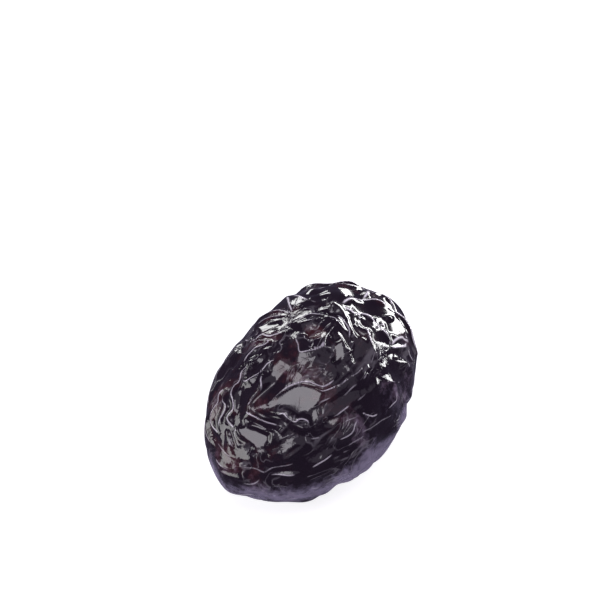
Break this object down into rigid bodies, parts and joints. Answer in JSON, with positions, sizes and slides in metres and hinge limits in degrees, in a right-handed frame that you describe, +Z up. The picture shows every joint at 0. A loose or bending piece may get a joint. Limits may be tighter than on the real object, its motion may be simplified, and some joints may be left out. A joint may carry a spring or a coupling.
{
  "type": "dried plum",
  "caption": "Dried plum lying on its side, a plump oval fruit with a deeply wrinkled glossy black skin and a stem scar on top.",
  "frame": {"origin": "middle of the fruit's box, at the level of the surface it rests on", "axes": "+X along the fruit's length, +Y across it, towards the side its ends curve to, +Z up, through the stem scar"},
  "size_m": [0.0396, 0.0264, 0.0221],
  "materials": {
    "skin": "glossy"
  },
  "bodies": {
    "root": {"prune": "skin"}
  },
  "joints": []
}
